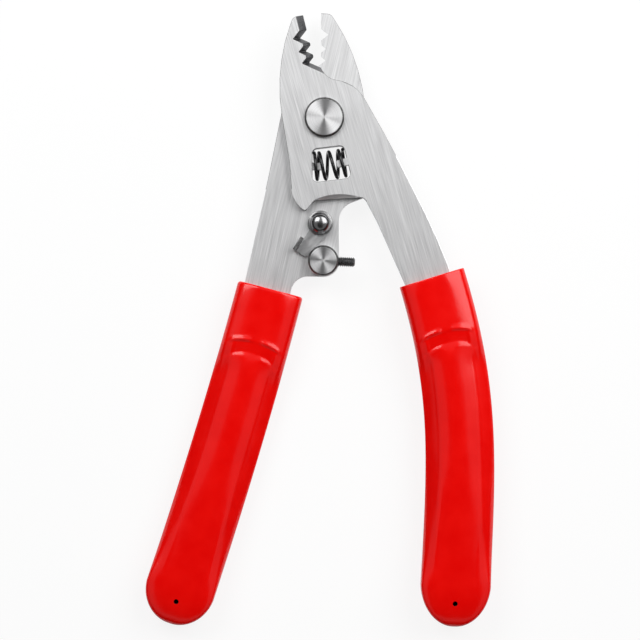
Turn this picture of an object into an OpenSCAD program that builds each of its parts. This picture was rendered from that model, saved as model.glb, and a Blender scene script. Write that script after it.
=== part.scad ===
// Three-hole fibre stripper: two flat steel levers that cross at a pivot, with a
// return spring in their windows, a turning lock latch, a screw stop and two grips.
// The pivot axis is Z. The tool lies on its back, open, with its jaws towards +Y.

/* [Levers] */
// Thickness of each steel lever
plate_t = 2.8; // [2:0.1:4]
// Running gap between sliding flat faces
slide_gap = 0.05; // [0.02:0.01:0.15]
// Angle that the front lever stands open at rest
open_angle = 14; // [8:0.5:16]
// Width of the steel round the stop post
post_boss = 0.25; // [0.1:0.05:1]

/* [Jaws] */
// Distance from the pivot axis to the tip of the jaws
jaw_reach = 28.4; // [26:0.1:32]
// How far the back cutting edge passes the middle line when closed
back_pass = 0.85; // [0.4:0.05:1.3]
// How far the front cutting edge passes the middle line when closed
front_pass = 1.15; // [0.4:0.05:1.3]
// Slope of the ground bevel behind each cutting edge
jaw_bevel = 35; // [20:1:40]
// Width of the closed holes, from the tip to the pivot
hole_w = [2.2, 0.9, 0.6]; // [0.3:0.1:3]
// Distance of the closed holes from the pivot axis
hole_y = [22.45, 18.68, 15.5]; // [14:0.1:24]
// Slope of the flanks of each notch
flank_angle = 38; // [30:1:42]
// Radius at the corners of the teeth
tooth_r = 0.45; // [0.1:0.05:0.6]
// Width of the relief ground on the front lever's lower edge
relief_w = 1.1; // [0.4:0.1:1.4]

/* [Pivot] */
// Diameter of the pivot's bearing shank
pivot_d = 6; // [5:0.1:7]
// Diameter of the pivot's flat head
pivot_head_d = 10.7; // [9:0.1:12]
// Height of the pivot's flat head
pivot_head_h = 1.6; // [1:0.1:2.5]
// Thread diameter of the pivot
pivot_thread_d = 5; // [4:0.1:5]
// Width across the flats of the pivot nut
nut_af = 8; // [7.5:0.1:10]
// Thickness of the pivot nut
nut_t = 2.7; // [2:0.1:4]
// Diameter of the washer under the nut
washer_d = 10; // [9:0.1:12]
// Thickness of the washer under the nut
washer_t = 0.5; // [0.3:0.1:1]
// Radial running clearance on the pivot, rivet and screw
fit = 0.03; // [0.01:0.01:0.08]

/* [Spring] */
// Outer diameter of the return spring
spring_d = 8.1; // [7.7:0.1:8.4]
// Diameter of the spring wire
wire_d = 0.82; // [0.6:0.02:0.9]
// Number of open turns between the closed end turns
open_turns = 2; // [2:1:3]
// Pitch of the closed end turns, in wire diameters
end_pitch = 1.5; // [1.1:0.1:1.6]
// Distance from the pivot axis to the axis of the spring
spring_y = 13; // [12.8:0.1:13.4]
// Half the gap between the two spring seats when closed
window_half = 3.2; // [3:0.1:3.8]
// Height of the spring window
window_h = 9; // [8.9:0.1:9.6]
// Radius at the corners of the window
window_r = 1.4; // [0.8:0.1:1.8]
// Length of the prong that holds the spring
nib_len = 3.1; // [2:0.1:3.2]
// Width of the prong that holds the spring
nib_w = 2; // [1.6:0.1:2.2]

/* [Lock latch] */
// Place of the latch rivet from the pivot axis
rivet_at = [-1.1, -28.4]; // [-32:0.1:32]
// Diameter of the rivet's shank
rivet_d = 3; // [2.5:0.1:3.5]
// Diameter of the rivet's domed head
dome_d = 6.1; // [5:0.1:6.4]
// Diameter of the rivet's countersunk tail
rivet_tail_d = 4.2; // [4:0.1:5]
// Diameter of the thin washer under the dome
latch_washer_d = 6.6; // [6.5:0.1:6.9]
// Thickness of the thin washer under the dome
latch_washer_t = 0.3; // [0.2:0.05:0.5]
// Thickness of the latch's sheet steel
latch_t = 1; // [0.8:0.1:1.2]
// Radius of the latch round its rivet
latch_r = 3.5; // [3.4:0.1:3.8]
// Length of the tongue from the rivet
tongue_len = 9.8; // [9:0.1:10.2]
// Half the width of the tongue at its square end
tongue_half = 1.5; // [1.2:0.1:1.6]
// Length of the thumb tab along the tongue
tab_len = 3.95; // [3:0.05:4.2]
// Height of the thumb tab above the lever
tab_h = 4; // [2.5:0.1:5]

/* [Stop] */
// Place of the stop post from the pivot axis
post_at = [-0.3, -38.5]; // [-42:0.1:42]
// Diameter of the stop post
post_d = 8.2; // [7.6:0.1:8.6]
// Height of the stop post above its lever
post_h = 4.8; // [4.2:0.1:6]
// Diameter of the post's riveted tail
post_tail_d = 5; // [4:0.1:6]
// Edge chamfer of the post and of the pivot head
head_chamfer = 0.5; // [0.2:0.05:0.7]
// Diameter of the stop screw
screw_d = 2.7; // [2.4:0.05:2.8]
// Length of the stop screw
screw_len = 11.5; // [10:0.1:12]
// Reach of the screw's tip from the post's axis
screw_reach = 8.55; // [7.6:0.05:8.6]
// Downward slope of the screw
screw_tilt = 3; // [0:0.5:6]
// Width across the flats of the screw's socket
socket_af = 1.3; // [1:0.1:1.4]

/* [Grips] */
// Straight distance from a grip's mouth to its round end
grip_len = 94.2; // [88:0.2:110]
// Width of a grip at its mouth
grip_w_top = 18.1; // [17:0.1:20]
// Width of a grip before its round end
grip_w_end = 19; // [17:0.1:20]
// Thickness of a grip
grip_t = 9.2; // [8:0.1:10]
// Edge radius of a grip's section
grip_edge_r = 3.8; // [3:0.1:4]
// Radius at the lip of each grip's mouth, back then front
lip_r = [0.8, 0.3]; // [0.2:0.1:1.2]
// Length of the round end of each grip, back then front
round_len = [10.4, 12]; // [9:0.1:14]
// Depth of the sunk panel on each face
panel_depth = 0.6; // [0.3:0.05:0.9]
// Distance from the mouth to the top of the panel's arch
collar_len = 14; // [8:0.5:20]
// Length of the slope below the arch
arch_slope = 3.8; // [1:0.1:5]
// Fall of the arch from its middle to its sides
arch_fall = 2.4; // [0:0.1:4]
// Width of the grip's border beside the panel's floor
border_w = 3.6; // [3:0.1:5.5]
// Width of the slope at the panel's sides
panel_slope = 1.6; // [0.8:0.1:2]
// Distance from the panel's round end to the end of the grip
panel_stop = 9.5; // [8:0.5:20]
// Diameter of the vent hole near the end
vent_d = 1.35; // [0.8:0.05:2]
// Distance from the vent hole to the end of the grip
vent_stop = 6.5; // [4:0.1:8]
// Half the width of the steel tang inside a grip
tang_half = 5.6; // [4:0.1:6]
// Distance from the tang's end to the end of the grip
tang_stop = 12; // [9:0.5:30]

/* [Hidden] */
$fn = 64;
arc_step = 6;
steel = [0.80, 0.80, 0.81];
dark_steel = [0.16, 0.16, 0.17];
red = [0.88, 0.05, 0.05];
over = 1;

// Levels, from the nut's back face at Z = 0
back_z = nut_t + washer_t;
part_z = back_z + plate_t + slide_gap / 2;
front_z = part_z + slide_gap / 2;
front_top = front_z + plate_t;
back_top = back_z + plate_t;
latch_z = back_top + slide_gap;
screw_z = front_z + plate_t / 2;
latch_washer_z = latch_z + latch_t + slide_gap;

// A lever is drawn closed, with its jaw to the right and its arm to the lower left.
// The back lever lies so. The front one is its mirror, turned open about the pivot.
boss_r = post_d / 2 + post_boss;
jaw_root = 2.45;
head_corners = [[-10.35, 7.25, 10], [-3.15, 9.85, 5], [-jaw_root, 13, 0.3],
                [-jaw_root, jaw_reach, 0], [1.75, jaw_reach - 0.3, 1.7],
                [9.95, jaw_reach - 12.5, 50], [12, -9.5, 20]];
back_inner = [[13.3, -20.5, 3.5], [post_at[0] + boss_r, -24, 5],
              [post_at[0] + boss_r, post_at[1] - boss_r, boss_r],
              [-8, post_at[1] - boss_r + 0.2, 4.5]];
front_inner = [[13.8, -19.95, 7.5], [11.1, -23.25, 0.8], [8, -20.9, 2.5],
               [-5.2, -23.3, 2.2], [-7.05, -30.8, 30]];
back_outer = [[-21.3, -43.4, 20], [-15.25, -16.9, 200]];
front_outer = [[-22.6, -46, 20], [-20.9, -35, 100], [-15.5, -11.3, 150]];

// Middle line of each grip, as four points of a smooth curve from mouth to end. The
// points are given for a grip as long as line_span, and a longer one draws them out.
line_span = 94.2;
back_line = drawn_out([[-14.5, -46.1], [-21.7, -73.4], [-30.8, -103.4], [-41.9, -136.3]]);
front_line = drawn_out([[-17.6, -48.7], [-19.5, -84.6], [-12, -102.9], [-0.6, -141.3]]);
function drawn_out(p) = [for (q = p) p[0] + (q - p[0]) * (grip_len / line_span)];

function turn(p, a) = [p[0] * cos(a) - p[1] * sin(a), p[0] * sin(a) + p[1] * cos(a)];
function unit(v) = v / norm(v);
function flat(v) = [v[0], v[1]];

// Points of one corner, rounded between its neighbours
function corner(a, b, c, r) =
    r == 0 ? [b] :
    let (u = unit(a - b), w = unit(c - b), half = acos(u * w) / 2,
         mid = b + unit(u + w) * r / sin(half), from = b + u * r / tan(half) - mid,
         side = sign(u[0] * w[1] - u[1] * w[0]), sweep = -side * (180 - 2 * half),
         n = max(1, ceil(abs(sweep) / arc_step)))
    [for (i = [0:n]) mid + turn(from, sweep * i / n)];

// Points of a closed outline from corners given as [x, y, radius]
function rounded(list) =
    let (n = len(list))
    [for (i = [0:n - 1])
        each corner(flat(list[(i + n - 1) % n]), flat(list[i]), flat(list[(i + 1) % n]), list[i][2])];

// A place on a grip's middle line and the direction to its side
function line_at(p, t) =
    pow(1 - t, 3) * p[0] + 3 * t * pow(1 - t, 2) * p[1]
    + 3 * t * t * (1 - t) * p[2] + pow(t, 3) * p[3];
function line_side(p, t) =
    let (d = unit(line_at(p, t + 0.005) - line_at(p, t - 0.005))) [-d[1], d[0]];

// Distances along the middle line, each with its place on the curve
function line_steps(p, n = 20) =
    [for (i = 0, s = 0; i <= n; i = i + 1,
          s = s + norm(line_at(p, i / n) - line_at(p, (i - 1) / n))) [s, i / n]];
function line_len(p) =
    let (steps = line_steps(p)) steps[len(steps) - 1][0];

// The point s along a grip and v to the side of its middle line
function on_grip(p, s, v) =
    let (t = lookup(s, line_steps(p))) line_at(p, t) + v * line_side(p, t);
function grip_half(p, s) =
    (grip_w_top + (grip_w_end - grip_w_top) * s / line_len(p)) / 2;

// The tang's end inside the grip, as corners of the lever's outline
function tang(p) =
    let (end = line_len(p) - tang_stop)
    [for (s = [12:10:end - 8]) [each on_grip(p, s, tang_half), 0],
     [each on_grip(p, end, tang_half), tang_half * 0.9],
     [each on_grip(p, end, -tang_half), tang_half * 0.9],
     for (s = [end - 8:-10:12]) [each on_grip(p, s, -tang_half), 0]];

// Outline of the cutting edge: a V notch for each hole, with the metal to the right
function notch(w, y, out) =
    let (rise = (w / 2 + out) * tan(flank_angle))
    [[-out, y + rise, tooth_r], [w / 2, y, 0.12], [-out, y - rise, tooth_r]];
function edge_corners(out) =
    let (far = -12, last = notch(hole_w[2], hole_y[2], out))
    [[far, jaw_reach + over, 0], [-out, jaw_reach + over, 0],
     each notch(hole_w[0], hole_y[0], out), each notch(hole_w[1], hole_y[1], out),
     last[0], last[1],
     [far, hole_y[2] - (hole_w[2] / 2 - far) * tan(flank_angle), 0]];

// The opening ground away beside a cutting edge. It leans by the bevel from the
// sliding face at z = 0, so its section there is the true outline.
module edge_cut(lean, out) {
    rotate([0, lean, 0])
        translate([0, 0, -2 * plate_t])
            linear_extrude(4 * plate_t)
                polygon([for (p = rounded(edge_corners(out))) [p[0] * cos(jaw_bevel), p[1]]]);
}

// Spring window with its prong. Its far edge lies where the other lever's seat is.
module window_2d() {
    top = -spring_y + window_h / 2;
    low = top - window_h;
    difference() {
        polygon(rounded([[-window_half, top, window_r],
                         [each turn([window_half + slide_gap, top], open_angle), window_r],
                         [each turn([window_half + slide_gap, low], open_angle), window_r],
                         [-window_half, low, window_r]]));
        polygon(rounded([[-window_half - over, -spring_y + nib_w / 2, 0],
                         [nib_len - window_half, -spring_y + nib_w / 2, nib_w * 0.3],
                         [nib_len - window_half, -spring_y - nib_w / 2, nib_w * 0.3],
                         [-window_half - over, -spring_y - nib_w / 2, 0]]));
    }
}

function back_outline() = rounded(concat(head_corners, back_inner, tang_back(), back_outer));
function front_outline() = rounded(concat(head_corners, front_inner, tang_front(), front_outer));
function tang_back() = tang(back_line);
function tang_front() = tang(front_line);

// Lays what is drawn closed as the front lever
module as_front() {
    rotate([0, 0, open_angle])
        mirror([1, 0, 0])
            children();
}

// Relief ground on the front lever's lower edge: a cone that bites widest at its middle
module relief() {
    inner = flat(front_inner[3]);
    outer = flat(front_inner[2]);
    way = unit(outer - inner);
    start = inner + way * front_inner[3][2] * 0.65;
    long = norm(outer - start);
    wheel = long * long / 8 / relief_w + relief_w / 2;
    translate([each (start + outer) / 2, front_top - relief_w])
        rotate([0, 0, atan2(way[1], way[0])])
            intersection() {
                translate([0, relief_w - wheel, 0])
                    cylinder(r1 = wheel - relief_w, r2 = wheel + plate_t, h = relief_w + plate_t);
                translate([-long / 2, -plate_t, 0])
                    cube([long, 2 * plate_t, 2 * plate_t]);
            }
}

module back_lever() {
    color(steel)
        difference() {
            translate([0, 0, back_z])
                linear_extrude(plate_t)
                    difference() {
                        polygon(back_outline());
                        window_2d();
                        circle(d = pivot_d + 2 * fit);
                        translate(rivet_at)
                            circle(d = rivet_d + 2 * fit);
                        translate(post_at)
                            circle(d = post_tail_d + 2 * fit);
                    }
            translate([0, 0, back_top])
                edge_cut(-jaw_bevel, back_pass);
            translate([each rivet_at, back_z])
                countersink(fit);
        }
}

module front_lever() {
    color(steel)
        as_front()
            difference() {
                translate([0, 0, front_z])
                    linear_extrude(plate_t)
                        difference() {
                            polygon(front_outline());
                            window_2d();
                            circle(d = pivot_d + 2 * fit);
                        }
                translate([0, 0, front_z])
                    edge_cut(jaw_bevel, front_pass);
                relief();
            }
}

// Solid through rings of points, closed by a flat cap at each end
module loft(rings) {
    n = len(rings[0]);
    m = len(rings);
    polyhedron([for (r = rings) each r],
               [[for (i = [n - 1:-1:0]) i],
                for (j = [0:m - 2]) for (i = [0:n - 1])
                    let (a = j * n + i, b = j * n + (i + 1) % n)
                        each [[a, b, b + n], [a, b + n, a + n]],
                [for (i = [0:n - 1]) (m - 1) * n + i]]);
}

// One ring of a grip: a rounded section, s along the middle line
function grip_ring(p, z, s, half, h, r) =
    [for (c = [[1, 1, 0], [-1, 1, 90], [-1, -1, 180], [1, -1, 270]]) for (a = [0:18:90])
        let (v = c[0] * (half - r) + r * cos(c[2] + a), w = c[1] * (h - r) + r * sin(c[2] + a))
        [each on_grip(p, s, v), z + w]];

module grip_blank(p, z, lip, tail) {
    end = line_len(p);
    h = grip_t / 2;
    cap = grip_half(p, end);
    loft([for (a = [0, 30, 60])
              let (in = lip * (1 - sin(a)))
              grip_ring(p, z, lip * (1 - cos(a)), grip_half(p, 0) - in, h - in, grip_edge_r - in),
          for (s = [lip:5:end - tail - 2])
              grip_ring(p, z, s, grip_half(p, s), h, grip_edge_r),
          for (a = [0:8.6:86])
              let (w = cap * cos(a), k = h * pow(cos(a), 0.5))
              grip_ring(p, z, end - tail * (1 - sin(a)), w, k, min(grip_edge_r, w, k) * 0.98)]);
}

// Outline of a sunk panel: an arch towards the mouth and a round end
function panel_outline(p, from, fall, half, stop, z) =
    let (end = line_len(p) - stop)
    [for (a = [-90:15:90]) [each on_grip(p, from + fall * (1 - cos(a)), half * sin(a)), z],
     for (s = [from + fall + 6:8:end - half - 4]) [each on_grip(p, s, half), z],
     for (a = [0:15:180]) [each on_grip(p, end - half + half * sin(a), half * cos(a)), z],
     for (s = [end - half - 4:-8:from + fall + 6]) [each on_grip(p, s, -half), z]];

module panel_cut(p) {
    floor_half = grip_w_top / 2 - border_w;
    rim_half = floor_half + panel_slope;
    h = grip_t / 2;
    loft([panel_outline(p, collar_len + arch_slope, arch_fall * floor_half / rim_half, floor_half,
                        panel_stop + panel_slope, h - panel_depth),
          panel_outline(p, collar_len, arch_fall, rim_half, panel_stop, h),
          panel_outline(p, collar_len, arch_fall, rim_half, panel_stop, h + over)]);
}

module grip(p, z, lip, tail) {
    difference() {
        grip_blank(p, z, lip, tail);
        translate([0, 0, z])
            panel_cut(p);
        translate([0, 0, z])
            mirror([0, 0, 1])
                panel_cut(p);
        translate([each on_grip(p, line_len(p) - vent_stop, 0), z - grip_t])
            cylinder(d = vent_d, h = 2 * grip_t);
    }
}

module back_grip() {
    color(red)
        difference() {
            grip(back_line, back_z + plate_t / 2, lip_r[0], round_len[0]);
            translate([0, 0, back_z])
                linear_extrude(plate_t)
                    polygon(back_outline());
        }
}

module front_grip() {
    color(red)
        as_front()
            difference() {
                grip(front_line, front_z + plate_t / 2, lip_r[1], round_len[1]);
                translate([0, 0, front_z])
                    linear_extrude(plate_t)
                        polygon(front_outline());
            }
}

// Turned round head with a chamfered rim, standing on z = 0
module turned_head(d, h) {
    cylinder(d = d, h = h - head_chamfer);
    translate([0, 0, h - head_chamfer])
        cylinder(d1 = d, d2 = d - 2 * head_chamfer, h = head_chamfer);
}

module pivot_bolt() {
    color(steel) {
        translate([0, 0, front_top + slide_gap])
            turned_head(pivot_head_d, pivot_head_h);
        translate([0, 0, back_z])
            cylinder(d = pivot_d, h = front_top + slide_gap - back_z);
        cylinder(d = pivot_thread_d, h = back_z);
    }
}

module pivot_washer() {
    color(steel)
        translate([0, 0, nut_t])
            difference() {
                cylinder(d = washer_d, h = washer_t);
                translate([0, 0, -over])
                    cylinder(d = pivot_thread_d + 2 * fit, h = washer_t + 2 * over);
            }
}

module pivot_nut() {
    color(steel)
        difference() {
            cylinder(d = nut_af / cos(30), h = nut_t, $fn = 6);
            translate([0, 0, -over])
                cylinder(d = pivot_thread_d + 2 * fit, h = nut_t + 2 * over);
        }
}

// The spring's axis is an arc that leaves both seats squarely. u runs from 0 to 1.
function seat() = [-window_half, -spring_y];
function far_seat() = turn([window_half, -spring_y], open_angle);
function spring_axis(u) =
    let (chord = far_seat() - seat(), bend = norm(chord) / 2 / sin(open_angle / 2),
         mid = seat() + [0, bend])
    mid + turn([0, -bend], open_angle * u);

module return_spring() {
    chord = norm(far_seat() - seat());
    end_gap = (wire_d / 2 + slide_gap) / chord;
    close = end_pitch * wire_d / chord;
    steps = 20;
    turns = open_turns + 2;
    coil = (spring_d - wire_d) / 2;
    open = (1 - 2 * end_gap - 2 * close) / open_turns;
    function along(k) =
        k < 1 ? end_gap + close * k :
        k < turns - 1 ? end_gap + close + open * (k - 1) :
        end_gap + close + open * open_turns + close * (k - turns + 1);
    color(dark_steel)
        loft([for (i = [0:turns * steps])
            let (k = i / steps, u = along(k), a = 90 - 360 * k, c = spring_axis(u),
                 lean = open_angle * u)
            [for (b = [0:45:315])
                let (r = coil + wire_d / 2 * cos(b),
                     p = turn([wire_d / 2 * sin(b), r * sin(a)], lean))
                [c[0] + p[0], c[1] + p[1], part_z + r * cos(a)]]]);
}

// The latch's own directions: +X along the tongue, +Y to the side of its thumb tab
taper = asin(latch_r / norm([tongue_len, tongue_half])) - atan(tongue_half / tongue_len);
post_way = post_at - rivet_at;
latch_angle = atan2(post_way[1], post_way[0]) + taper
    - asin((latch_r + post_d / 2 + slide_gap) / norm(post_way));

// Outline of the flat part: round at the rivet, narrowing to the tongue's square end
function latch_outline() =
    let (from = asin(tongue_half / latch_r), sweep = 270 - from + taper)
    [for (i = [0:40]) turn([latch_r, 0], from + sweep * i / 40),
     [tongue_len, -tongue_half], [tongue_len, tongue_half]];

// Section of the tab, bent up from the sheet
function tab_section() =
    rounded([[-latch_t, 0, 0], [latch_t, 0, latch_t * 0.95], [latch_t, tab_h, 0.2],
             [0, tab_h, 0.2], [0, latch_t, 0.2], [-latch_t, latch_t, 0]]);

module lock_latch() {
    color(steel)
        translate([each rivet_at, latch_z])
            rotate([0, 0, latch_angle])
                mirror([0, 1, 0]) {
                    linear_extrude(latch_t)
                        difference() {
                            polygon(latch_outline());
                            circle(d = rivet_d + 2 * fit);
                        }
                    translate([tongue_len - tab_len, tongue_half, 0])
                        rotate([90, 0, 90])
                            linear_extrude(tab_len)
                                polygon(tab_section());
                }
}

// Peened tail that fills the countersink on the back lever's back face
module countersink(gap) {
    cylinder(d1 = rivet_tail_d + 2 * gap, d2 = rivet_d + 2 * gap,
             h = (rivet_tail_d - rivet_d) / 2);
}

module latch_rivet() {
    dome_z = latch_washer_z + latch_washer_t;
    color(dark_steel)
        union() {
            translate([each rivet_at, back_z])
                countersink(0);
            translate([each rivet_at, back_z])
                cylinder(d = rivet_d, h = dome_z - back_z + over);
            translate([each rivet_at, dome_z])
                intersection() {
                    sphere(d = dome_d);
                    cylinder(d = dome_d + over, h = dome_d);
                }
        }
}

module latch_washer() {
    color(steel)
        translate([each rivet_at, latch_washer_z])
            difference() {
                cylinder(d = latch_washer_d, h = latch_washer_t);
                translate([0, 0, -over])
                    cylinder(d = rivet_d + 2 * fit, h = latch_washer_t + 2 * over);
            }
}

// Lays what points along +X at the stop screw's height and slope
module along_screw() {
    translate([each post_at, screw_z])
        rotate([0, 0, -screw_tilt])
            rotate([0, 90, 0])
                children();
}

module stop_post() {
    color(steel)
        difference() {
            union() {
                translate([each post_at, back_z])
                    cylinder(d = post_tail_d, h = plate_t + over);
                translate([each post_at, back_top])
                    turned_head(post_d, post_h);
            }
            along_screw()
                translate([0, 0, -post_d])
                    cylinder(d = screw_d + 2 * fit, h = 2 * post_d);
        }
}

module stop_screw() {
    tip = screw_d * 0.2;
    color(dark_steel)
        along_screw()
            difference() {
                union() {
                    translate([0, 0, screw_reach - screw_len])
                        cylinder(d = screw_d, h = screw_len - tip);
                    translate([0, 0, screw_reach - tip])
                        cylinder(d1 = screw_d, d2 = screw_d - 2 * tip, h = tip);
                }
                translate([0, 0, screw_reach - screw_len - over])
                    cylinder(d = socket_af / cos(30), h = over + 1.5, $fn = 6);
            }
}

back_lever();
front_lever();
back_grip();
front_grip();
pivot_bolt();
pivot_washer();
pivot_nut();
return_spring();
lock_latch();
latch_rivet();
latch_washer();
stop_post();
stop_screw();
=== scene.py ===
import math

import bmesh
import bpy
from mathutils import Matrix, Vector


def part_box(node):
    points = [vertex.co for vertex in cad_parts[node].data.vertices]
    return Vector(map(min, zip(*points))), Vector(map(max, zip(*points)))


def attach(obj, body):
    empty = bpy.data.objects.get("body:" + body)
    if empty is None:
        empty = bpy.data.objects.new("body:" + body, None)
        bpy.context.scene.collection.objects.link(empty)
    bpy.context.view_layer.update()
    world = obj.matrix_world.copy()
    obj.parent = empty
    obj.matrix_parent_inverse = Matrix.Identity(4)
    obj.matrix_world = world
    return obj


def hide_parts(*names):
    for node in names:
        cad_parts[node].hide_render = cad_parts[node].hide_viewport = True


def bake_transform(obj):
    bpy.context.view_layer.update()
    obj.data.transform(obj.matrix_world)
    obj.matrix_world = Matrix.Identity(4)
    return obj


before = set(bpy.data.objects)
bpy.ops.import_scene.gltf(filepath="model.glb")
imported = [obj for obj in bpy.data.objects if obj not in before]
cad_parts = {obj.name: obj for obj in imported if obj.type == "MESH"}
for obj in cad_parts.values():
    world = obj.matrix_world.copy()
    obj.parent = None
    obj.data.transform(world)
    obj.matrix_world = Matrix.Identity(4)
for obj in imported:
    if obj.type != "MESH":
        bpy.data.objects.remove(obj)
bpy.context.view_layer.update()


# ---- Levers ----------------------------------------------------------------
# Two blanked plates of tool steel that cross at the pivot. Each is ground flat along
# its length, its rim is broken by tumbling, and its jaw is notched and bevelled by a
# grinding wheel, which leaves those faces coarse. Their dark tone and the dark of the
# broken rims are painted shade.

MM = 0.001
LEVER_RIM = 0.10 * MM
BACK_LEAN, FRONT_LEAN, RELIEF_LEAN = math.radians(13), math.radians(-16), math.radians(60)
JAW_START = 11.8 * MM      # the jaws' ground faces lie beyond this, towards the tips
RELIEF_START = -18 * MM    # the ground relief lies beyond this, towards the grips
RIM_FACE = 0.03 * MM ** 2  # only a facet of a broken rim is smaller than this
FACE, WALL, JAW, RIM, RELIEF = range(5)


def alone(piece):
    """Makes one object the only selected and active one."""
    bpy.ops.object.select_all(action="DESELECT")
    piece.select_set(True)
    bpy.context.view_layer.objects.active = piece


def edit(piece):
    alone(piece)
    bpy.ops.object.mode_set(mode="EDIT")


def leave():
    bpy.ops.object.mode_set(mode="OBJECT")


def pick(piece, kind, test):
    """In edit mode, selects the verts, edges or faces that pass a test, and no others."""
    bpy.ops.mesh.select_mode(type={"verts": "VERT", "edges": "EDGE", "faces": "FACE"}[kind])
    bpy.ops.mesh.select_all(action="DESELECT")
    shape = bmesh.from_edit_mesh(piece.data)
    shape.normal_update()
    for item in getattr(shape, kind):
        if test(item):
            item.select_set(True)
    bmesh.update_edit_mesh(piece.data)


def apply(piece, kind, **settings):
    """Adds a modifier, sets it up and applies it."""
    alone(piece)
    modifier = piece.modifiers.new(kind.title(), kind)
    for key, value in settings.items():
        setattr(modifier, key, value)
    bpy.ops.object.modifier_apply(modifier=modifier.name)


def settle(piece):
    """Puts a piece's place, turn and size into its mesh."""
    alone(piece)
    bpy.ops.object.transform_apply(location=True, rotation=True, scale=True)


def smooth_walls(piece, angle):
    """Smooth round its bends, with each flat face left truly flat."""
    alone(piece)
    bpy.ops.object.shade_smooth_by_angle(angle=math.radians(angle))
    edit(piece)
    pick(piece, "faces", lambda f: abs(f.normal.z) > 0.999
         or (len(f.verts) > 4 and abs(f.normal.z) > 0.3))
    bpy.ops.mesh.faces_shade_flat()
    leave()


def blank_from(node, name):
    """A piece cut to a solid's shape: its flat faces are whole again and its seams closed."""
    piece = bpy.data.objects.new(name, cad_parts[node].data.copy())
    bpy.context.scene.collection.objects.link(piece)
    piece.data.materials.clear()
    edit(piece)
    bpy.ops.mesh.select_all(action="SELECT")
    bpy.ops.mesh.remove_doubles(threshold=0.002 * MM)
    bpy.ops.mesh.dissolve_limited(angle_limit=math.radians(0.5))
    bpy.ops.mesh.customdata_custom_splitnormals_clear()
    leave()
    return piece


def new_finish(name):
    """An empty finish: its material, its nodes, its links and its shader."""
    finish = bpy.data.materials.new(name)
    finish.use_nodes = True
    tree = finish.node_tree
    return finish, tree.nodes, tree.links, tree.nodes["Principled BSDF"]


def stretched(nodes, links, scale, turn=0.0, at=(0, 0, 0)):
    """Object coordinates, moved to a place, turned about Z, and scaled to grains a metre."""
    place = nodes.new("ShaderNodeTexCoord")
    shift = nodes.new("ShaderNodeVectorMath")
    shift.operation = "SUBTRACT"
    shift.inputs[1].default_value = at
    links.new(place.outputs["Object"], shift.inputs[0])
    way = nodes.new("ShaderNodeMapping")
    way.vector_type = "POINT"
    way.inputs["Rotation"].default_value = (0, 0, turn)
    links.new(shift.outputs[0], way.inputs["Vector"])
    size = nodes.new("ShaderNodeVectorMath")
    size.operation = "MULTIPLY"
    size.inputs[1].default_value = scale
    links.new(way.outputs["Vector"], size.inputs[0])
    return size.outputs[0]


def grain(nodes, links, vector, detail=2.0, roughness=0.5):
    """A noise, whose grain is set by how its coordinates are stretched."""
    noise = nodes.new("ShaderNodeTexNoise")
    noise.inputs["Scale"].default_value = 1.0
    noise.inputs["Detail"].default_value = detail
    noise.inputs["Roughness"].default_value = roughness
    links.new(vector, noise.inputs["Vector"])
    return noise.outputs["Fac"]


def spread(nodes, links, value, low, high, to_low, to_high):
    """Maps a value from one range to another, held at both ends."""
    scale = nodes.new("ShaderNodeMapRange")
    scale.inputs["From Min"].default_value = low
    scale.inputs["From Max"].default_value = high
    scale.inputs["To Min"].default_value = to_low
    scale.inputs["To Max"].default_value = to_high
    links.new(value, scale.inputs["Value"])
    return scale.outputs["Result"]


def tone(nodes, links, value, dark, light):
    """A colour between two, by a value from 0 to 1."""
    ramp = nodes.new("ShaderNodeValToRGB")
    ramp.color_ramp.elements[0].color = (*dark, 1)
    ramp.color_ramp.elements[1].color = (*light, 1)
    links.new(value, ramp.inputs["Fac"])
    return ramp.outputs["Color"]


def relief(nodes, links, shader, height, strength, depth):
    """A fine bump on a shader."""
    bump = nodes.new("ShaderNodeBump")
    bump.inputs["Strength"].default_value = strength
    bump.inputs["Distance"].default_value = depth
    links.new(height, bump.inputs["Height"])
    links.new(bump.outputs["Normal"], shader.inputs["Normal"])


def coat(nodes, links, shader, pattern, part, dark, light, rough=None):
    """Colour and roughness that follow one pattern. Part is what shows of its range."""
    tint = spread(nodes, links, pattern, *part, 0, 1)
    links.new(tone(nodes, links, tint, dark, light), shader.inputs["Base Color"])
    if rough:
        links.new(spread(nodes, links, pattern, 0.3, 0.7, *rough), shader.inputs["Roughness"])


def sum_of(nodes, links, first, second, share):
    """Two patterns mixed, by the share of the second."""
    mix = nodes.new("ShaderNodeMix")
    mix.data_type = "FLOAT"
    mix.inputs["Factor"].default_value = share
    links.new(first, mix.inputs["A"])
    links.new(second, mix.inputs["B"])
    return mix.outputs["Result"]


def brushed_steel(name, lean, dark, light):
    """Steel ground in one direction: short fine lines over longer and broader ones."""
    finish, nodes, links, shader = new_finish(name)
    fine = grain(nodes, links, stretched(nodes, links, (8200, 110, 110), lean), 2, 0.6)
    broad = grain(nodes, links, stretched(nodes, links, (3600, 70, 70), lean), 2, 0.5)
    lines = sum_of(nodes, links, fine, broad, 0.45)
    coat(nodes, links, shader, lines, (0.32, 0.68), dark, light, (0.38, 0.48))
    relief(nodes, links, shader, lines, 0.16, 0.02 * MM)
    shader.inputs["Metallic"].default_value = 1.0
    return finish


def ground_steel_painted_dark(name):
    """Wheel-ground faces of the jaws: coarse marks across the edge, on a dark tone that is painted
    shade.
    """
    finish, nodes, links, shader = new_finish(name)
    marks = grain(nodes, links, stretched(nodes, links, (2600, 2600, 700)), 3, 0.6)
    coat(nodes, links, shader, marks, (0.35, 0.65),
         (0.10, 0.10, 0.105), (0.19, 0.19, 0.195), (0.34, 0.5))
    relief(nodes, links, shader, marks, 0.25, 0.02 * MM)
    shader.inputs["Metallic"].default_value = 1.0
    return finish


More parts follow.
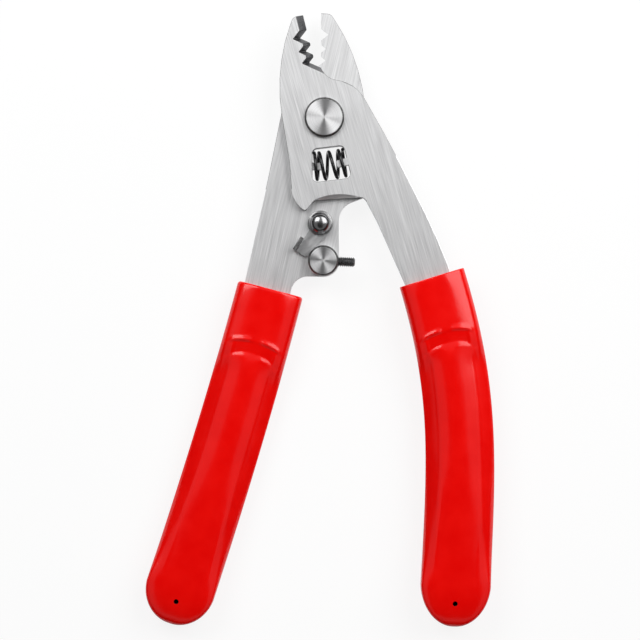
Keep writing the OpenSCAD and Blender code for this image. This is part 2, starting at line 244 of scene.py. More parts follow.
def sheared_steel(name):
    """The blanked walls of a plate: duller and darker than its ground faces."""
    finish, nodes, links, shader = new_finish(name)
    marks = grain(nodes, links, stretched(nodes, links, (3200, 3200, 420)), 2, 0.5)
    coat(nodes, links, shader, marks, (0.3, 0.7),
         (0.30, 0.30, 0.31), (0.46, 0.46, 0.47), (0.4, 0.55))
    relief(nodes, links, shader, marks, 0.2, 0.02 * MM)
    shader.inputs["Metallic"].default_value = 1.0
    return finish


def dark_rim_painted_shade(name):
    """Rims and chamfers painted dark: a painted shade for the dark ring that edges show."""
    finish, nodes, links, shader = new_finish(name)
    marks = grain(nodes, links, stretched(nodes, links, (1500, 1500, 1500)), 2, 0.5)
    coat(nodes, links, shader, marks, (0.3, 0.7),
         (0.10, 0.10, 0.10), (0.22, 0.22, 0.22), (0.4, 0.5))
    shader.inputs["Metallic"].default_value = 1.0
    return finish


def leaning(face):
    """Whether a face leans as the jaws' ground bevels do, between flat and upright."""
    return 0.3 < abs(face.normal.z) < 0.8


def lever(node, name, face_finish):
    """A lever with its rim broken, and a finish for its faces, its walls and its jaw."""
    piece = blank_from(node, name)
    low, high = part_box(node)
    sliding = high.z if node == "back_lever" else low.z

    def sharp(edge):
        """A cutting edge: where a leaning ground face meets the sliding face."""
        middle = (edge.verts[0].co + edge.verts[1].co) / 2
        return (middle.y > JAW_START and abs(middle.z - sliding) < 0.2 * MM
                and any(leaning(face) for face in edge.link_faces))

    def rim(edge):
        """An edge between a flat face and a wall, but no cutting edge."""
        if len(edge.link_faces) != 2 or edge.calc_face_angle() < math.radians(35):
            return False
        flat = [face for face in edge.link_faces if abs(face.normal.z) > 0.99]
        return len(flat) == 1 and not sharp(edge)

    def folded(corner):
        """A corner where the outline runs a little way back along itself."""
        ways = [(edge.other_vert(corner).co - corner.co).normalized()
                for edge in corner.link_edges]
        ways = [way for way in ways if abs(way.z) < 0.1]
        return any(a.dot(b) > 0.99 for a in ways for b in ways if a is not b)

    # Such a fold is welded first, or its broken rim would leave a hair across the face
    edit(piece)
    pick(piece, "verts", folded)
    bpy.ops.mesh.remove_doubles(threshold=0.8 * MM)
    pick(piece, "edges", rim)
    bpy.ops.mesh.bevel(offset=LEVER_RIM, offset_type="OFFSET", segments=2, profile=0.5,
                       affect="EDGES", clamp_overlap=False)
    leave()
    for finish in (face_finish, sheared, ground, rim_painted_shade, relief_steel_painted_light):
        piece.data.materials.append(finish)
    for face in piece.data.polygons:
        level, small = abs(face.normal.z), face.area <= RIM_FACE
        # Jaw faces take the ground finish, whose dark tone is painted shade
        if face.center.y > JAW_START and leaning(face) and not small:
            face.material_index = JAW
        elif level < 0.3:
            face.material_index = WALL
        elif level < 0.97:
            # Rim facets take the dark rim finish, a painted shade; the relief takes a finish
            # painted light
            face.material_index = RIM if small or face.center.y > RELIEF_START else RELIEF
    smooth_walls(piece, 32)
    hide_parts(node)
    return piece


sheared = sheared_steel("sheared_steel")
ground = ground_steel_painted_dark("ground_jaw_painted_shade")
rim_painted_shade = dark_rim_painted_shade("dark_rim_painted_shade")
# The leaning relief facet is painted lighter than the faces: painted light that lifts the shade
# its lean takes
relief_steel_painted_light = brushed_steel("relief_steel_painted_light", RELIEF_LEAN, (0.80, 0.80, 0.805), (0.92, 0.92, 0.925))
for side, lean, dark, light in (
        ("back", BACK_LEAN, (0.61, 0.61, 0.615), (0.83, 0.83, 0.835)),
        ("front", FRONT_LEAN, (0.59, 0.59, 0.595), (0.82, 0.82, 0.825))):
    brushed = brushed_steel("brushed_" + side, lean, dark, light)
    plate = lever(side + "_lever", side + "_lever_plate", brushed)
    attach(plate, side + "_half")


# ---- Grips -----------------------------------------------------------------
# Each is a plump sleeve of soft gloss vinyl, dip-moulded over the lever's tang. Behind a
# plain collar it swells to a crest, then to a crowned pad with sloping borders. Its far
# end is plain and round, with a small blind vent left by a pin.

GRIP_MIDDLE = {"back": 4.6 * MM, "front": 7.45 * MM}
GRIP_LINE = {"back": [(-14.5, -46.1), (-21.7, -73.4), (-30.8, -103.4), (-41.9, -136.3)],
             "front": [(-17.6, -48.7), (-19.5, -84.6), (-12, -102.9), (-0.6, -141.3)]}
GRIP_LIP, LIP_DROP = {"back": 0.8 * MM, "front": 0.3 * MM}, 0.3 * MM
GRIP_ROUND = {"back": 10.4 * MM, "front": 12 * MM}
GRIP_WIDE, GRIP_END, GRIP_THICK = 18.04 * MM, 18.94 * MM, 8.72 * MM
GRIP_MOST = 4.56 * MM      # no point lies further than this from the sleeve's middle plane
OPEN = math.radians(14)

# The crest and the pad's brow are arches: distance from the mouth, half width and fall
CREST, CREST_WIDE, CREST_FALL, CREST_HIGH = 14.3 * MM, 7.4 * MM, 2.4 * MM, 0.21 * MM
BROW, BROW_WIDE, BROW_FALL, BROW_HIGH = 18.1 * MM, 6.2 * MM, 2.3 * MM, 0.27 * MM
PAD_HALF, PAD_HIGH, LEDGE, SADDLE = 5.8 * MM, 4.31 * MM, 0.16 * MM, 0.30 * MM
PARTING = 0.36 * MM        # half the height of the band left plain round the sides
VENT_AT, VENT_R = 6.5 * MM, 0.675 * MM


def line_points(side):
    """The four points of a sleeve's middle line, from its mouth to its end, at Z = 0."""
    points = [Vector((x * MM, y * MM, 0)) for x, y in GRIP_LINE[side]]
    if side == "front":
        points = [Matrix.Rotation(OPEN, 3, "Z") @ Vector((-p.x, p.y, 0)) for p in points]
    return points


def grip_way(side):
    """The sleeve's middle line, as a curve that lies where the tang does."""
    points = line_points(side)
    for p in points:
        p.z = GRIP_MIDDLE[side]
    bpy.ops.object.select_all(action="DESELECT")
    bpy.ops.curve.primitive_bezier_curve_add()
    way = bpy.context.object
    way.data.resolution_u = 96
    way.data.twist_mode = "Z_UP"
    first, last = way.data.splines[0].bezier_points
    for knot, here, before, after in (
            (first, points[0], 2 * points[0] - points[1], points[1]),
            (last, points[3], points[2], 2 * points[3] - points[2])):
        knot.handle_left_type = knot.handle_right_type = "FREE"
        knot.co, knot.handle_left, knot.handle_right = here, before, after
    return way


def soft(x):
    """An even rise from 0 to 1, held at both ends."""
    x = min(1.0, max(0.0, x))
    return x * x * (3 - 2 * x)


def arch(v, wide, fall):
    """How far an arch has fallen back at a distance v from its middle."""
    return fall * (1 - math.sqrt(max(0.0, 1 - min(1.0, abs(v) / wide) ** 2)))


def sleeve_wide(s, long):
    return (GRIP_WIDE + (GRIP_END - GRIP_WIDE) * s / long) / 2


def sleeve_rings(lip, tail, long):
    """Place, half width and half height of each ring, from the lip to the round end."""
    half, high, flat = GRIP_WIDE / 2, GRIP_THICK / 2, long - tail - 0.04 * MM
    rings = []
    for degrees in (0, 20, 40, 60, 80):
        a = math.radians(degrees)
        rings.append((lip * (1 - math.cos(a)), half - lip * (1 - math.sin(a)),
                      high - LIP_DROP * (1 - math.sin(a))))
    # Rings lie closest where the crest and the brow are
    start, stop = 12.4 * MM, 23.2 * MM
    steps = [lip + (start - lip) * i / 9 for i in range(9)]
    steps += [start + (stop - start) * i / 54 for i in range(54)]
    steps += [stop + (flat - stop) * i / 60 for i in range(61)]
    rings += [(s, sleeve_wide(s, long), high) for s in steps]
    for degrees in (5, 11, 17, 23, 29, 35, 41, 47, 53, 59, 65, 70, 75, 79, 83, 86, 88, 89.3):
        a = math.radians(degrees)
        rings.append((flat + tail * math.sin(a), GRIP_END / 2 * math.cos(a),
                      high * math.sqrt(math.cos(a))))
    return rings, flat


def pressed(s, v, z, long, flat, tail):
    """New height of a point that lies s from the mouth, v to the side and z up."""
    high = GRIP_THICK / 2
    crest = s - CREST - arch(v, CREST_WIDE, CREST_FALL)
    brow = s - BROW - arch(v, BROW_WIDE, BROW_FALL)
    off = soft((v - 0.8 * MM) / (1.6 * MM))
    past = soft(crest / (1.3 * MM))

    # The collar thins at its mouth and swells to the crest, which has a gap at its top
    mouth = max(0.0, 1 - s / (3.6 * MM)) ** 2 * soft((v - 3 * MM) / (3.5 * MM))
    swell = off * max(0.0, 1 + crest / (1.2 * MM)) ** 2 * (1 - past)
    collar = z - 0.30 * MM * mouth * z / high
    collar += CREST_HIGH * swell * soft((7.6 * MM - v) / (1.2 * MM))

    # The crowned pad falls to a saddle behind the crest and rises again at its brow
    rise = min(1.0, max(0.0, brow / ((1.3 + 2.4 * (1 - off)) * MM)))
    level = PAD_HIGH - SADDLE * min(1.0, max(0.0, crest / (3.4 * MM)))
    level += BROW_HIGH * (1 - (1 - rise) ** 2)
    crown = (0.011 + 0.026 * soft((crest - 1 * MM) / (9 * MM))
             - 0.022 * soft((s - 42 * MM) / (26 * MM))) / MM
    pad = level - crown * v ** 2

    # On each side of it a border slopes from a fine ledge to the plain band
    edge = min(1.0, max(0.0, (v - PAD_HALF) / (sleeve_wide(s, long) - PAD_HALF)))
    slope = level - crown * PAD_HALF ** 2 - LEDGE - PARTING
    border = PARTING + slope * (1 - edge) ** 0.8
    sloping = soft((crest + 0.5 * MM) / (9 * MM)) * soft((long - 8 * MM - s) / (34 * MM))
    border = z + (min(z, border) - z) * sloping
    panel = border + (pad - border) * soft((PAD_HALF - v) / (0.45 * MM))

    # The round end is left plain and swells to its full height close to its edge
    tall = high * max(0.0, 1 - max(0.0, (s - flat) / tail) ** 2) ** 0.25
    foot = PARTING * tall / high
    full = min(1.0, max(0.0, (z - foot) / max(1e-9, tall - foot)))
    plump = foot + (tall - foot) * full ** 0.3
    collar += (plump - z) * soft((s - long + 24 * MM) / (14 * MM))
    share = past * soft((long - 9.5 * MM - s) / (14 * MM))
    return min(GRIP_MOST, collar + (min(collar, panel) - collar) * share)


def grip_sleeve(side, name):
    """A whole sleeve: its section drawn out ring by ring, pressed, and bent to its line."""
    way = grip_way(side)
    long = way.data.splines[0].calc_length()
    tail = GRIP_ROUND[side]
    rings, flat = sleeve_rings(GRIP_LIP[side], tail, long)

    # The section at the mouth: a square, rounded nearly to an ellipse and drawn to size
    bpy.ops.object.select_all(action="DESELECT")
    bpy.ops.mesh.primitive_plane_add(size=1, rotation=(0, math.pi / 2, 0))
    piece = bpy.context.object
    piece.name = name
    settle(piece)
    edit(piece)
    bpy.ops.mesh.select_all(action="SELECT")
    bpy.ops.mesh.bevel(offset=0.46, segments=30, profile=0.61, affect="VERTICES")
    bpy.ops.transform.resize(value=(1, GRIP_WIDE, GRIP_THICK))
    for axis, least, cuts in (("z", 1.2 * MM, 3), ("y", 0.6 * MM, 1)):
        pick(piece, "edges", lambda e: e.calc_length() > least
             and abs(getattr(e.verts[0].co, axis) - getattr(e.verts[1].co, axis)) < 1e-7)
        bpy.ops.mesh.subdivide(number_cuts=cuts)

    # Ring after ring is drawn out along X, and each vertex is pressed to its height
    bpy.ops.mesh.select_all(action="SELECT")
    bpy.ops.mesh.select_mode(type="FACE")
    s, w, h = 0.0, GRIP_WIDE / 2, GRIP_THICK / 2
    for i, (next_s, next_w, next_h) in enumerate(rings):
        if i:
            bpy.ops.mesh.extrude_region_move(TRANSFORM_OT_translate={"value": (next_s - s, 0, 0)})
        bpy.ops.transform.resize(value=(1, next_w / w, next_h / h),
                                 center_override=(next_s, 0, 0))
        s, w, h = next_s, next_w, next_h
    bpy.ops.mesh.poke()
    leave()
    for point in piece.data.vertices:
        s, v, z = point.co.x, abs(point.co.y), abs(point.co.z)
        if z >= PARTING * 1.05:
            point.co.z = math.copysign(pressed(s, v, z, long, flat, tail), point.co.z)
    apply(piece, "CURVE", object=way, deform_axis="POS_X")
    bpy.data.objects.remove(way)
    edit(piece)
    bpy.ops.mesh.select_all(action="SELECT")
    bpy.ops.mesh.normals_make_consistent(inside=False)
    leave()
    return piece


def carve(piece, tool, operation="DIFFERENCE"):
    """Cuts a piece with another, or keeps what they share, and takes the other away."""
    apply(piece, "BOOLEAN", operation=operation, solver="EXACT", object=tool)
    bpy.data.objects.remove(tool)


def red_vinyl(name):
    """Gloss red vinyl with a faint mottle in its colour and a soft skin."""
    finish, nodes, links, shader = new_finish(name)
    mottle = grain(nodes, links, stretched(nodes, links, (180, 180, 180)), 3, 0.55)
    skin = grain(nodes, links, stretched(nodes, links, (2600, 2600, 2600)), 2, 0.5)
    wave = grain(nodes, links, stretched(nodes, links, (160, 160, 160)), 1, 0.4)
    coat(nodes, links, shader, mottle, (0.3, 0.7),
         (0.83, 0.0015, 0.0008), (0.88, 0.003, 0.0015), (0.16, 0.21))
    relief(nodes, links, shader, sum_of(nodes, links, wave, skin, 0.1), 0.1, 0.05 * MM)
    shader.inputs["Specular IOR Level"].default_value = 0.42
    return finish


def painted_shade_vinyl(name):
    """The inside of the vent, painted near black: a painted shade for its unlit depth, with a
    faint speckle.
    """
    finish, nodes, links, shader = new_finish(name)
    shade_speckle = grain(nodes, links, stretched(nodes, links, (2500, 2500, 2500)), 2, 0.5)
    coat(nodes, links, shader, shade_speckle, (0.3, 0.7), (0.012, 0.002, 0.002), (0.03, 0.004, 0.004))
    shader.inputs["Roughness"].default_value = 0.8
    return finish


vent_painted_shade = painted_shade_vinyl("vent_painted_shade")
vinyl = red_vinyl("red_vinyl")
for side in ("back", "front"):
    sleeve = grip_sleeve(side, side + "_grip_sleeve")
    points = line_points(side)
    vent = points[3] + (points[2] - points[3]).normalized() * VENT_AT
    vent.z = GRIP_MIDDLE[side] + GRIP_THICK / 2
    bpy.ops.object.select_all(action="DESELECT")
    bpy.ops.mesh.primitive_cylinder_add(vertices=24, radius=VENT_R, depth=14 * MM, location=vent)
    carve(sleeve, bpy.context.object)
    carve(sleeve, blank_from(side + "_lever", "tang"))
    sleeve.data.materials.clear()
    sleeve.data.materials.append(vinyl)
    sleeve.data.materials.append(vent_painted_shade)
    corners = sleeve.data.vertices
    # Faces inside the vent take the painted shade
    for face in sleeve.data.polygons:
        if all((corners[i].co - vent).xy.length < VENT_R + 0.01 * MM for i in face.vertices):
            face.material_index = 1
    alone(sleeve)
    bpy.ops.object.shade_smooth_by_angle(angle=math.radians(40))
    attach(sleeve, side + "_half")
    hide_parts(side + "_grip")


# ---- Pivot -----------------------------------------------------------------
# A shouldered bolt turned from bright steel, with a flat head faced on the lathe, passes
# through both levers. A plain washer and a hexagon nut hold it at the back.

# Profiles are in mm, with their heights above the nut's back face
BACK_LOW, BACK_TOP, HEAD_LOW = 3.2, 6.0, 8.9
HEAD_TOP, HEAD_R, CHAMFER = 10.5, 5.35, 0.5
SHANK_R, THREADED_R = 3, 2.5
NUT_HIGH, NUT_ACROSS, NUT_BORE = 2.7, 8.0, 2.53
WASHER_R, WASHER_HIGH = 5, 0.5


def first_point(name):
    """A new piece of one point at the origin, left picked in edit mode to be drawn out."""
    bpy.ops.object.select_all(action="DESELECT")
    bpy.ops.mesh.primitive_plane_add(size=MM)
    piece = bpy.context.object
    piece.name = name
    edit(piece)
    bpy.ops.mesh.select_all(action="SELECT")
    bpy.ops.mesh.merge(type="CENTER")
    bpy.ops.mesh.select_mode(type="VERT")
    bpy.ops.mesh.select_all(action="SELECT")
    return piece


def turned(name, place, profile, rim=0.06 * MM):
    """A lathe-turned piece: a profile of (radius, height) spun about Z, its rims broken."""
    x, y, z = (c * MM for c in place)
    piece = first_point(name)
    points = [Vector((x + r * MM, y, z + h * MM)) for r, h in profile]
    bpy.ops.transform.translate(value=points[0])
    for here, there in zip(points, points[1:]):
        bpy.ops.mesh.extrude_region_move(TRANSFORM_OT_translate={"value": there - here})
    bpy.ops.mesh.select_all(action="SELECT")
    bpy.ops.mesh.spin(steps=96, angle=2 * math.pi, center=(x, y, z), axis=(0, 0, 1))
    bpy.ops.mesh.select_all(action="SELECT")
    bpy.ops.mesh.remove_doubles(threshold=0.002 * MM)
    bpy.ops.mesh.normals_make_consistent(inside=False)
    if rim:
        pick(piece, "edges", lambda e: len(e.link_faces) == 2
             and e.calc_face_angle() > math.radians(25))
        bpy.ops.mesh.bevel(offset=rim, offset_type="OFFSET", segments=2, profile=0.5,
                           affect="EDGES", clamp_overlap=True)
    leave()
    smooth_walls(piece, 40)
    return piece


def faced_steel(name, place, dark, light, rough):
    """Lathe-faced steel: fine rings round an axis that catch the light in fans."""
    finish, nodes, links, shader = new_finish(name)
    flat = stretched(nodes, links, (1, 1, 0), at=[c * MM for c in place] + [0])
    reach = nodes.new("ShaderNodeVectorMath")
    reach.operation = "LENGTH"
    links.new(flat, reach.inputs[0])
    rings = nodes.new("ShaderNodeTexNoise")
    rings.noise_dimensions = "1D"
    rings.inputs["Scale"].default_value = 7000
    rings.inputs["Detail"].default_value = 2
    links.new(reach.outputs["Value"], rings.inputs["W"])
    specks = grain(nodes, links, stretched(nodes, links, (900, 900, 900)), 2, 0.5)
    marks = sum_of(nodes, links, rings.outputs["Fac"], specks, 0.1)
    coat(nodes, links, shader, marks, (0.32, 0.68), dark, light, (rough - 0.04, rough + 0.04))
    relief(nodes, links, shader, rings.outputs["Fac"], 0.3, 0.01 * MM)
    shader.inputs["Metallic"].default_value = 1.0
    shader.inputs["Anisotropic"].default_value = 0.95
    shader.inputs["Anisotropic Rotation"].default_value = 0.25
    round_it = nodes.new("ShaderNodeTangent")
    round_it.direction_type = "RADIAL"
    round_it.axis = "Z"
    links.new(round_it.outputs["Tangent"], shader.inputs["Tangent"])
    return finish


def finished(piece, finish, body, node):
    """Gives a piece its finish and its body, and hides the solid that it stands for."""
    piece.data.materials.clear()
    piece.data.materials.append(finish)
    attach(piece, body)
    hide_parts(node)


def rim_of(piece, finish, above):
    """Gives the chamfer round a head the dark rim finish, a painted shade; only the face stays
    bright.
    """
    piece.data.materials.append(finish)
    for face in piece.data.polygons:
        if face.center.z > above * MM and 0.2 < face.normal.z < 0.85:
            face.material_index = 1


def headed(radius, top, low):
    """Profile of a flat head with a chamfer, from the middle of its face to its underside."""
    return [(0, top), (radius - CHAMFER, top), (radius, top - CHAMFER), (radius, low)]


def ring(bore, radius, high):
    """Profile of a plain washer."""
    return [(bore, 0), (radius, 0), (radius, high), (bore, high), (bore, 0)]


bolt = turned("pivot_bolt_turned", (0, 0, 0), headed(HEAD_R, HEAD_TOP, HEAD_LOW)
              + [(SHANK_R, HEAD_LOW), (SHANK_R, BACK_LOW), (THREADED_R, BACK_LOW),
                 (THREADED_R, 0.3), (THREADED_R - 0.3, 0), (0, 0)])
faced = faced_steel("faced_bolt_steel", (0, 0), (0.58, 0.58, 0.585), (0.78, 0.78, 0.785), 0.40)
finished(bolt, faced, "back_half", "pivot_bolt")
# The head's chamfer is painted dark, a painted shade
rim_of(bolt, rim_painted_shade, HEAD_TOP - 0.6)

plating = faced_steel("plated_washer_steel", (0, 0), (0.50, 0.50, 0.49), (0.62, 0.62, 0.61), 0.36)
washer = turned("pivot_washer_plain", (0, 0, NUT_HIGH),
                ring(NUT_BORE, WASHER_R, WASHER_HIGH), rim=0.05 * MM)
finished(washer, plating, "back_half", "pivot_washer")

# The nut starts as a six-sided blank, is cut to the cone of its chamfer, and is bored
bpy.ops.object.select_all(action="DESELECT")
bpy.ops.mesh.primitive_cylinder_add(vertices=6, radius=NUT_ACROSS / math.sqrt(3) * MM,
                                    depth=NUT_HIGH * MM, location=(0, 0, NUT_HIGH / 2 * MM),
                                    rotation=(0, 0, math.pi / 6))
nut = bpy.context.object
nut.name = "pivot_nut_hexagon"
settle(nut)
cone = [(0, 0), (4.05, 0), (4.9, 0.5), (4.9, 2.4), (4.05, 2.9), (0, 2.9)]
carve(nut, turned("nut_cone", (0, 0, -0.1), cone, rim=0), "INTERSECT")
bore = [(0, 0), (NUT_BORE, 0), (NUT_BORE, 5), (0, 5)]
carve(nut, turned("nut_bore", (0, 0, -1), bore, rim=0))
smooth_walls(nut, 20)
finished(nut, plating, "back_half", "pivot_nut")


# ---- Stop post -------------------------------------------------------------
# A round post turned from bright steel and riveted into the back lever. Its side is
# cross-drilled and tapped for the stop screw, and its face shows the lathe's rings.

POST_AT, POST_R, POST_TOP, POST_TAIL_R = (-0.3, -38.5), 4.1, 10.8, 2.5
SCREW_Z, SCREW_LEAN, TAPPED_R = 7.45, math.radians(-3), 1.38


def to_screw(piece):
    """Lays what stands along Z on the screw's line."""
    settle(piece)
    piece.rotation_euler = (0, math.pi / 2, SCREW_LEAN)
    piece.location = (POST_AT[0] * MM, POST_AT[1] * MM, SCREW_Z * MM)
    settle(piece)


post = turned("stop_post_turned", (*POST_AT, 0), headed(POST_R, POST_TOP, BACK_TOP)
              + [(POST_TAIL_R, BACK_TOP), (POST_TAIL_R, BACK_LOW), (0, BACK_LOW)])
bpy.ops.object.select_all(action="DESELECT")
bpy.ops.mesh.primitive_cylinder_add(vertices=48, radius=TAPPED_R * MM, depth=12 * MM)
drill = bpy.context.object
to_screw(drill)
carve(post, drill)
smooth_walls(post, 40)
faced = faced_steel("faced_post_steel", POST_AT, (0.45, 0.45, 0.455), (0.61, 0.61, 0.615), 0.38)
finished(post, faced, "back_half", "stop_post")
# The post's chamfer is painted dark, a painted shade
rim_of(post, rim_painted_shade, POST_TOP - 0.6)


# ---- Stop screw ------------------------------------------------------------
# A small blackened socket set screw. Its thread runs the whole length, both ends are
# chamfered, and a hexagon socket is pressed into the end on the post's far side.

# It is made upright, with its heights measured from the post's axis. One turn of the
# thread's section, from crest to root and back, is as high as its pitch.
PITCH, THREAD_R, THREAD_LOW = 0.52, 1.34, -3.5
SCREW_LOW, SCREW_TIP, SOCKET_ACROSS = -2.95, 8.55, 1.3
screw = first_point("stop_screw_threaded")
bpy.ops.transform.translate(value=(THREAD_R * MM, 0, THREAD_LOW * MM))
for out, up in ((0, 0.08), (-0.3, 0.2), (0, 0.04), (0.3, 0.2)):
    bpy.ops.mesh.extrude_region_move(TRANSFORM_OT_translate={"value": (out * MM, 0, up * MM)})
leave()
apply(screw, "SCREW", screw_offset=PITCH * MM, iterations=25, steps=28, render_steps=28,
      use_merge_vertices=True, merge_threshold=0.001 * MM, use_normal_calculate=True)
edit(screw)
bpy.ops.mesh.select_all(action="SELECT")
bpy.ops.mesh.remove_doubles(threshold=0.002 * MM)
middle = (SCREW_LOW + SCREW_TIP) / 2 * MM
for end in (-1, 1):
    pick(screw, "edges", lambda e: e.is_boundary and (e.verts[0].co.z - middle) * end > 0)
    bpy.ops.mesh.edge_face_add()
bpy.ops.mesh.select_all(action="SELECT")
bpy.ops.mesh.normals_make_consistent(inside=False)
leave()
ends = [(0, SCREW_LOW), (1.0, SCREW_LOW), (1.5, SCREW_LOW + 0.5), (1.5, SCREW_TIP - 0.55),
        (0.81, SCREW_TIP), (0, SCREW_TIP)]
carve(screw, turned("screw_ends", (0, 0, 0), ends, rim=0), "INTERSECT")
bpy.ops.object.select_all(action="DESELECT")
bpy.ops.mesh.primitive_cylinder_add(vertices=6, radius=SOCKET_ACROSS * MM / math.sqrt(3),
                                    depth=2 * MM, location=(0, 0, (SCREW_LOW + 0.5) * MM))
carve(screw, bpy.context.object)
to_screw(screw)
bpy.ops.object.shade_smooth_by_angle(angle=math.radians(30))


def blackened_steel(name, dark, light, rough):
    """Oiled black oxide on steel: near black, with a thin sheen and worn specks."""
    finish, nodes, links, shader = new_finish(name)
    specks = grain(nodes, links, stretched(nodes, links, (1600, 1600, 1600)), 3, 0.55)
    coat(nodes, links, shader, specks, (0.35, 0.7), dark, light, (rough - 0.05, rough + 0.07))
    relief(nodes, links, shader, specks, 0.12, 0.02 * MM)
    shader.inputs["Metallic"].default_value = 0.6
    shader.inputs["Specular IOR Level"].default_value = 0.8
    return finish


oxide = blackened_steel("blackened_screw", (0.07, 0.07, 0.072), (0.16, 0.16, 0.164), 0.26)
finished(screw, oxide, "adjuster", "stop_screw")


# ---- Lock latch ------------------------------------------------------------
# A stamping of sheet steel with its rims tumbled, round at the rivet. One side of its
# tongue is bent up as a thumb tab, and its end holds the front lever when it is shut.

latch = blank_from("lock_latch", "lock_latch_stamping")
edit(latch)
pick(latch, "edges", lambda e: len(e.link_faces) == 2
     and e.calc_face_angle() > math.radians(50))
bpy.ops.mesh.bevel(offset=0.12 * MM, offset_type="OFFSET", segments=2, profile=0.5,
                   affect="EDGES", clamp_overlap=True)
leave()
smooth_walls(latch, 32)


def stamped_steel(name):
    """Tumbled sheet steel: mid grey, satin, with faint scuffs."""
    finish, nodes, links, shader = new_finish(name)
    along = stretched(nodes, links, (900, 240, 700), math.radians(52))
    scuffs = grain(nodes, links, along, 3, 0.6)
    coat(nodes, links, shader, scuffs, (0.33, 0.67),
         (0.42, 0.42, 0.425), (0.52, 0.52, 0.525), (0.36, 0.46))
    relief(nodes, links, shader, scuffs, 0.12, 0.02 * MM)
    shader.inputs["Metallic"].default_value = 1.0
    return finish


# The tab's sheared top takes the dark rim finish, a painted shade
finished(latch, stamped_steel("stamped_latch_steel"), "latch", "lock_latch")
latch.data.materials.append(rim_painted_shade)
tab_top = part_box("lock_latch")[1].z - 0.3 * MM
for face in latch.data.polygons:
    if face.center.z > tab_top:
        face.material_index = 1


# ---- Latch rivet and washer ------------------------------------------------
# The latch turns on a rivet of dark polished steel with a domed head and a peened tail.
# A thin bright washer lies between the dome and the latch.

RIVET_AT, RIVET_R, PEEN_R = (-1.1, -28.4), 1.5, 2.1
DOME_R, DOME_LOW, DOME_ROUND = 3.05, 7.4, 0.87
SHIM_BORE, SHIM_R, SHIM_HIGH = 1.53, 3.3, 0.3
dome = [(0, DOME_LOW + DOME_R)]
for degrees in (1, 2, 4, 7, 10, 14, 18, 23, 28, 33, 38, 43, 48, 53, 58, 63, 68, 72, 76, 80,
                83, 86, 88, 89.5):
    a = math.radians(degrees)
    dome.append((DOME_R * math.sin(a) ** DOME_ROUND,
                 DOME_LOW + DOME_R * math.cos(a) ** DOME_ROUND))
dome += [(DOME_R, DOME_LOW), (RIVET_R, DOME_LOW), (RIVET_R, BACK_LOW + 0.6),
         (PEEN_R, BACK_LOW), (0, BACK_LOW)]
rivet = turned("latch_rivet_domed", (*RIVET_AT, 0), dome, rim=0)


def dark_polish(name):
    """Dark chrome, mirror bright, with faint wiping marks."""
    finish, nodes, links, shader = new_finish(name)
    wipes = grain(nodes, links, stretched(nodes, links, (700, 250, 500), 0.6), 2, 0.5)
    coat(nodes, links, shader, wipes, (0.35, 0.65),
         (0.26, 0.26, 0.265), (0.32, 0.32, 0.325), (0.20, 0.26))
    relief(nodes, links, shader, wipes, 0.05, 0.01 * MM)
    shader.inputs["Metallic"].default_value = 1.0
    return finish


finished(rivet, dark_polish("dark_polished_rivet"), "back_half", "latch_rivet")

shim = turned("latch_washer_thin", (*RIVET_AT, DOME_LOW - SHIM_HIGH),
              ring(SHIM_BORE, SHIM_R, SHIM_HIGH), rim=0.05 * MM)
bright = faced_steel("bright_thin_washer", RIVET_AT, (0.55, 0.55, 0.55), (0.70, 0.70, 0.70), 0.30)
finished(shim, bright, "back_half", "latch_washer")


# ---- Return spring ---------------------------------------------------------
# A short compression spring coiled from blackened wire, with closed end turns. It sits
# in both levers' windows, over a prong on each, and pushes the handles open.

# Its axis bends evenly from one seat to the other, which the open levers turn apart
SEAT_X, SEAT_Y = 3.2, -13.0
SEAT = Vector((-SEAT_X, SEAT_Y))
FAR_SEAT = Matrix.Rotation(OPEN, 2) @ Vector((SEAT_X, SEAT_Y))
COIL, WIRE, PART_Z = 3.59, 0.92, 6.025
SEAT_GAP, CLOSED_PITCH = 0.05, 1.5 * WIRE
OPEN_TURNS, PER_TURN = 2, 40
TURNS = OPEN_TURNS + 2
chord = (FAR_SEAT - SEAT).length
bend = chord / 2 / math.sin(OPEN / 2)
gap, close = (WIRE / 2 + SEAT_GAP) / chord, CLOSED_PITCH / chord
open_pitch = (1 - 2 * gap - 2 * close) / OPEN_TURNS
bpy.ops.object.select_all(action="DESELECT")
bpy.ops.curve.primitive_nurbs_path_add()
wire = bpy.context.object
wire.data.splines.clear()
line = wire.data.splines.new("POLY")
line.points.add(TURNS * PER_TURN)
for i, point in enumerate(line.points):
    k = i / PER_TURN
    u = gap + close * min(k, 1) + close * max(k - TURNS + 1, 0)
    u += open_pitch * min(max(k - 1, 0), OPEN_TURNS)
    a, lean = math.radians(90 - 360 * k), OPEN * u
    middle = SEAT + Vector((bend * math.sin(lean), bend - bend * math.cos(lean)))
    side = Vector((-math.sin(lean), math.cos(lean))) * COIL * math.sin(a)
    point.co = ((middle.x + side.x) * MM, (middle.y + side.y) * MM,
                (PART_Z + COIL * math.cos(a)) * MM, 1)
wire.data.bevel_depth = WIRE / 2 * MM
wire.data.bevel_resolution = 5
wire.data.use_fill_caps = True
wire.data.twist_mode = "MINIMUM"
alone(wire)
bpy.ops.object.convert(target="MESH")
spring = bpy.context.object
spring.name = "return_spring_coiled"
settle(spring)
edit(spring)
bpy.ops.mesh.select_all(action="SELECT")
bpy.ops.mesh.remove_doubles(threshold=0.001 * MM)
bpy.ops.mesh.normals_make_consistent(inside=False)
leave()
alone(spring)
bpy.ops.object.shade_smooth_by_angle(angle=math.radians(50))
oxide = blackened_steel("blackened_spring_wire", (0.012, 0.012, 0.013), (0.03, 0.03, 0.031), 0.24)
spring.data.materials.clear()
spring.data.materials.append(oxide)
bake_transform(spring)
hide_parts("return_spring")


# ---- Studio ----------------------------------------------------------------
# A pale floor, two soft boxes beyond the jaws, one to each side, black cards round the
# lens and low round the tool, and a long lens that looks straight down.

